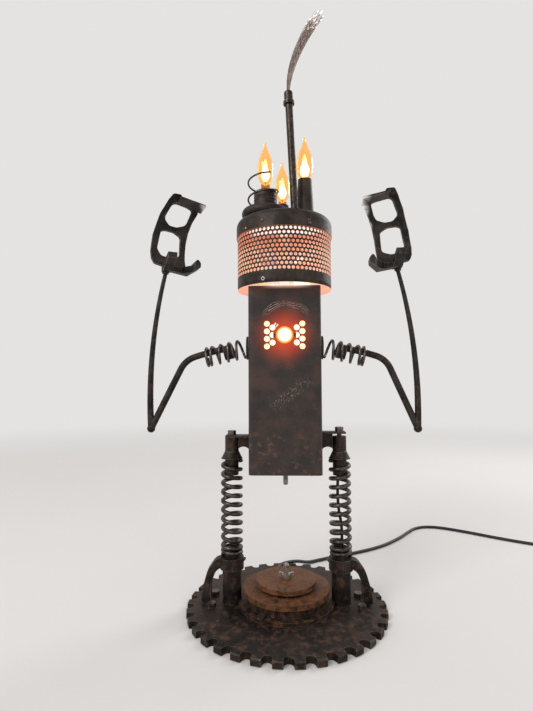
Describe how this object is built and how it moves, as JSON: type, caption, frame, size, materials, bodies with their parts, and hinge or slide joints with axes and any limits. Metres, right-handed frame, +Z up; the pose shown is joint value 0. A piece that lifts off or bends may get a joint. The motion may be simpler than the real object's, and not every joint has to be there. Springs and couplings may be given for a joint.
{
  "type": "robot shaped desk lamp",
  "caption": "Table lamp in the shape of a small robot: toothed wheel base, coil spring legs, tube body, perforated drum head with flame bulbs and an aerial, sprung arms with wrench hands.",
  "frame": {"origin": "middle of the base wheel's underside, on the table", "axes": "+Z up, +X to the right in the picture (towards the arm on the picture's right), front facing -Y"},
  "size_m": [0.9229, 0.5054, 0.84],
  "materials": {
    "wheel": "dark, scratched, with rust in the tooth gaps",
    "hub": "orange-brown rust over dark iron",
    "hardware": "worn, a little rusty",
    "leg_iron": "dark and pitted",
    "spring_steel": "dark steel with bright edges",
    "body_iron": "worn black-brown paint over steel",
    "eye_ring": "tarnished",
    "eye_lens": "orange, lit from behind",
    "drum_sheet": "dark bronze, satin",
    "candle": "dark bronze",
    "bulb_glass": "clear amber glass",
    "bulb_flame": "brass screw base with a glowing flame plate",
    "inner_bulb": "frosted",
    "socket": "black",
    "pipe": "dull",
    "fibres": "clear fibres with bright ends",
    "arm_iron": "forged, dark, worn bright on its edges",
    "cord": "matt black",
    "switch": "black",
    "blades": "bright"
  },
  "bodies": {
    "base": {"base_sprocket": "wheel", "hub_drum": "hub", "hub_disc": "hub", "hub_cap": "hub", "hub_stud": "hardware", "left_post": "leg_iron", "right_post": "leg_iron", "left_foot_bracket": "leg_iron", "right_foot_bracket": "leg_iron", "left_leg_spring": "spring_steel", "right_leg_spring": "spring_steel", "foot_bolts": "hardware", "leg_wire": "cord", "strain_relief": "cord", "power_cord": "cord", "cord_coil": "cord", "switch_body": "switch", "plug_body": "cord", "plug_blades": "blades"},
    "nut": {"wing_nut": "hardware"},
    "rocker": {"switch_rocker": "switch"},
    "torso": {"body_tube": "body_iron", "body_bottom_plate": "body_iron", "body_top_plate": "body_iron", "tie_rod": "hardware", "centre_pipe": "pipe", "left_leg_bracket": "leg_iron", "right_leg_bracket": "leg_iron", "left_leg_sleeve": "leg_iron", "right_leg_sleeve": "leg_iron", "leg_bolts": "hardware", "eye_bezel": "eye_ring", "eye_lens": "eye_lens", "drum_band": "drum_sheet", "drum_cap": "drum_sheet", "inner_socket": "socket", "inner_bulb": "inner_bulb", "left_candle": "candle", "middle_candle": "candle", "right_candle": "candle", "left_bulb_glass": "bulb_glass", "middle_bulb_glass": "bulb_glass", "right_bulb_glass": "bulb_glass", "left_bulb_flame": "bulb_flame", "middle_bulb_flame": "bulb_flame", "right_bulb_flame": "bulb_flame", "round_disc": "drum_sheet", "wire_coil": "spring_steel", "antenna_tube": "pipe", "antenna_nozzle": "pipe", "fibre_bundle": "fibres"},
    "left_shoulder": {"left_shoulder_flange": "body_iron", "left_shoulder_spring": "spring_steel"},
    "right_shoulder": {"right_shoulder_flange": "body_iron", "right_shoulder_spring": "spring_steel"},
    "left_arm": {"left_arm": "arm_iron", "left_hand": "arm_iron"},
    "right_arm": {"right_arm": "arm_iron", "right_hand": "arm_iron"}
  },
  "joints": [
    {"name": "torso_sway", "type": "hinge", "parent": "base", "child": "torso", "pos_m": [0, 0, 0.147], "axis": [1, 0, 0], "range_deg": [-5, 5], "stiffness_Nm_per_rad": 70, "deforming": ["left_leg_spring", "right_leg_spring", "leg_wire"]},
    {"name": "wing_nut_turn", "type": "hinge", "parent": "base", "child": "nut", "pos_m": [0, 0, 0.0456], "axis": [0, 0, 1], "continuous": true},
    {"name": "switch_rock", "type": "hinge", "parent": "base", "child": "rocker", "pos_m": [0.57569, 0.21887, 0.0155], "axis": [0.3976, 0.9176, 0], "range_deg": [-10, 10]},
    {"name": "left_shoulder_turn", "type": "hinge", "parent": "torso", "child": "left_shoulder", "pos_m": [-0.0511, 0, 0.371], "axis": [1, 0, 0], "range_deg": [-30, 30]},
    {"name": "left_arm_flex", "type": "hinge", "parent": "left_shoulder", "child": "left_arm", "pos_m": [-0.0683, 0, 0.3682], "axis": [0, -1, 0], "range_deg": [-8, 8], "stiffness_Nm_per_rad": 12, "springref_deg": -2.35, "deforming": ["left_shoulder_spring"]},
    {"name": "right_shoulder_turn", "type": "hinge", "parent": "torso", "child": "right_shoulder", "pos_m": [0.0511, 0, 0.371], "axis": [1, 0, 0], "range_deg": [-30, 30]},
    {"name": "right_arm_flex", "type": "hinge", "parent": "right_shoulder", "child": "right_arm", "pos_m": [0.0683, 0, 0.3682], "axis": [0, 1, 0], "range_deg": [-8, 8], "stiffness_Nm_per_rad": 12, "springref_deg": -2.35, "deforming": ["right_shoulder_spring"]}
  ]
}
